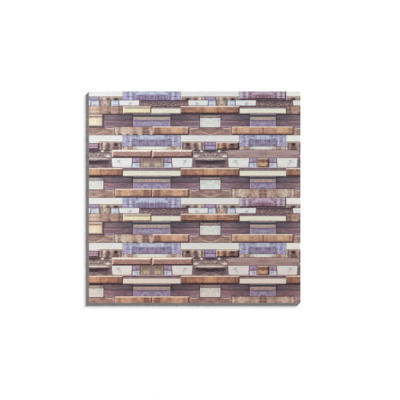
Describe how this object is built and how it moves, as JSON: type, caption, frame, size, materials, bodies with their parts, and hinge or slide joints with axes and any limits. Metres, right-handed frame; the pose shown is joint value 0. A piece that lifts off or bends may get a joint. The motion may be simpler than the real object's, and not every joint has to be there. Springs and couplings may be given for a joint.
{
  "type": "peel and stick backsplash tile",
  "caption": "Square self-adhesive vinyl wall tile, pressed and printed as stacked wood strips, with a release liner on its back.",
  "frame": {"origin": "centre of the tile's outline on the liner's outer face, which the tile rests on", "axes": "+X along the strips, +Y to the top edge of the printed pattern, +Z out of the printed face"},
  "size_m": [0.3, 0.3, 0.0024],
  "materials": {
    "printed_vinyl": "printed satin vinyl film in a stacked wood strip pattern",
    "liner_paper": "siliconised release paper"
  },
  "bodies": {
    "root": {"embossed_sheet": "printed_vinyl", "release_liner": "liner_paper"}
  },
  "joints": []
}
